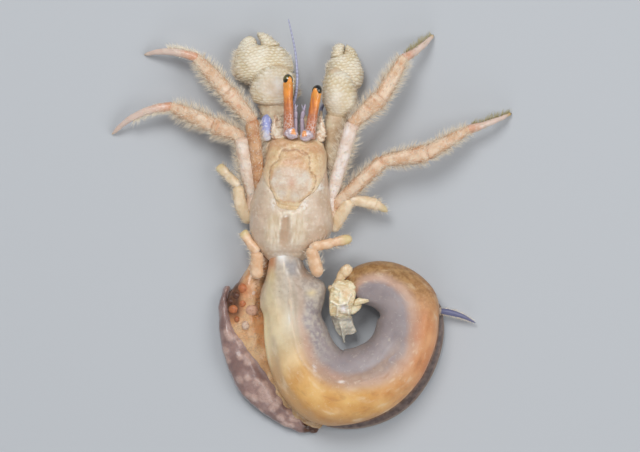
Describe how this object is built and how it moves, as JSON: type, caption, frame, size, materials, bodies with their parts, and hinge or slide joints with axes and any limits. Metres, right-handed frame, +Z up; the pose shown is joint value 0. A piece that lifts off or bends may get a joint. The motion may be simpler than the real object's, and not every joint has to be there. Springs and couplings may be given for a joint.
{
  "type": "hermit crab",
  "caption": "Hermit crab out of its shell, lying flat: cream claws and hairy walking legs spread forward, orange eyestalks, and a soft tail coiled round to its right.",
  "frame": {"origin": "centre of the footprint, at the floor the animal lies on", "axes": "+Z up from the floor, -Y towards the head, +X towards the animal's own left"},
  "size_m": [0.0602, 0.0616, 0.0091],
  "materials": {
    "shield_plate": "satin, wet, faintly pitted",
    "body_wall": "moist and smooth",
    "claw_shell": "rough transverse scales with short hairs",
    "leg_shell": "satin shell with hair fringes",
    "leg_tip": "smooth horn",
    "small_leg": "satin",
    "eyestalk": "wet and smooth",
    "cornea": "wet black",
    "feeler": "thin ringed feeler",
    "pleon_skin": "wet and translucent",
    "pouch_skin": "thin wet membrane",
    "eggs": "wet beads",
    "tail_shell": "crinkled horn"
  },
  "bodies": {
    "root": {"shield": "shield_plate", "carapace_rear": "body_wall", "thorax_underside": "body_wall", "pleon_1": "pleon_skin", "pleon_2": "pleon_skin", "pleon_3": "pleon_skin", "pleon_4": "pleon_skin", "tail_plate": "tail_shell", "telson": "tail_shell", "uropod_left": "tail_shell", "uropod_right": "tail_shell", "brood_pouch": "pouch_skin", "egg_mass": "eggs", "pleopod_left": "pouch_skin", "cornea_left": "cornea", "eyestalk_left": "eyestalk", "ocular_scale_left": "eyestalk", "cornea_right": "cornea", "eyestalk_right": "eyestalk", "ocular_scale_right": "eyestalk", "antenna_base_left": "body_wall", "antenna_left": "feeler", "antennule_left": "feeler", "antenna_base_right": "body_wall", "antenna_right": "feeler", "antennule_right": "feeler", "claw_left_wrist": "claw_shell", "claw_left_finger": "claw_shell", "claw_left_palm": "claw_shell", "claw_left_arm": "claw_shell", "claw_right_wrist": "claw_shell", "claw_right_finger": "claw_shell", "claw_right_palm": "claw_shell", "claw_right_arm": "claw_shell", "leg2_left_merus": "leg_shell", "leg2_left_carpus": "leg_shell", "leg2_left_propodus": "leg_shell", "leg2_left_dactyl": "leg_tip", "leg3_left_merus": "leg_shell", "leg3_left_carpus": "leg_shell", "leg3_left_propodus": "leg_shell", "leg3_left_dactyl": "leg_tip", "leg2_right_merus": "leg_shell", "leg2_right_carpus": "leg_shell", "leg2_right_propodus": "leg_shell", "leg2_right_dactyl": "leg_tip", "leg3_right_merus": "leg_shell", "leg3_right_carpus": "leg_shell", "leg3_right_propodus": "leg_shell", "leg3_right_dactyl": "leg_tip", "leg4_left_merus": "small_leg", "leg4_left_hand": "small_leg", "leg4_right_merus": "small_leg", "leg4_right_hand": "small_leg", "leg5_left_merus": "small_leg", "leg5_left_hand": "small_leg", "leg5_right_merus": "small_leg", "leg5_right_hand": "small_leg", "maxilliped_left": "small_leg", "maxilliped_right": "small_leg"}
  },
  "joints": []
}
